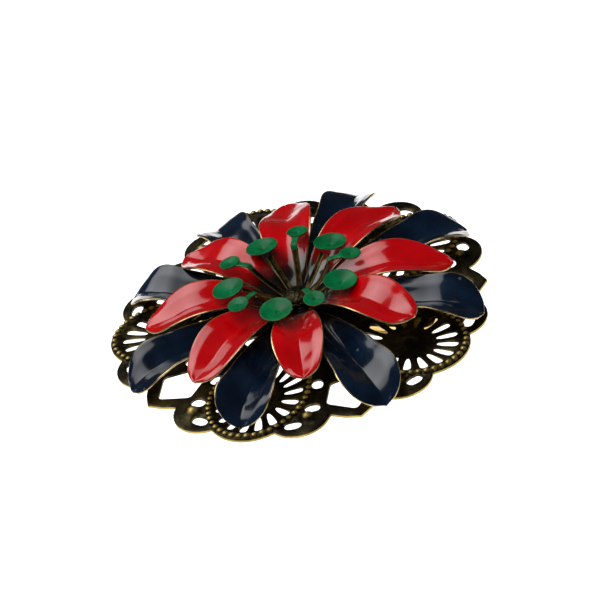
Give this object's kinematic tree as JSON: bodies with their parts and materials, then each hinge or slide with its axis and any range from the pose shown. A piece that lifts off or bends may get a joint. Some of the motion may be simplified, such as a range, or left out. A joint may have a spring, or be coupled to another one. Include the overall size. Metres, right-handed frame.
{
  "type": "flower brooch",
  "caption": "Round pierced brooch with two layers of enamelled petals, a stamen spray and a hinged bar pin with a turning safety catch.",
  "frame": {"origin": "on the flower's axis, level with the lowest point of the catch, where the back of the brooch rests", "axes": "+Z out of the flower, +X along the pin bar towards the catch, -Y through the middle of one medallion"},
  "size_m": [0.059, 0.0588, 0.0144],
  "materials": {
    "antique_bronze": "antiqued, with brassy high spots",
    "blue_enamel": "gloss",
    "red_enamel": "gloss",
    "green_enamel": "satin gloss",
    "raw_brass": "bright",
    "steel": "polished"
  },
  "bodies": {
    "brooch": {"filigree_plate": "antique_bronze", "centre_collar": "antique_bronze", "blue_petals": "blue_enamel", "red_petals": "red_enamel", "stamen_spray": "green_enamel", "centre_rivet": "antique_bronze", "pin_bar": "raw_brass", "hinge_rivet": "raw_brass", "catch_housing": "raw_brass"},
    "stem": {"pin_stem": "steel"},
    "rotor": {"catch_rotor": "raw_brass"}
  },
  "joints": [
    {"name": "stem_hinge", "type": "hinge", "parent": "brooch", "child": "stem", "pos_m": [-0.0185, 0, 0.0023], "axis": [0, 1, 0], "range_deg": [0, 80]},
    {"name": "catch_turn", "type": "hinge", "parent": "brooch", "child": "rotor", "pos_m": [0.0178, 0, 0.0023], "axis": [1, 0, 0], "range_deg": [0, 80]}
  ]
}
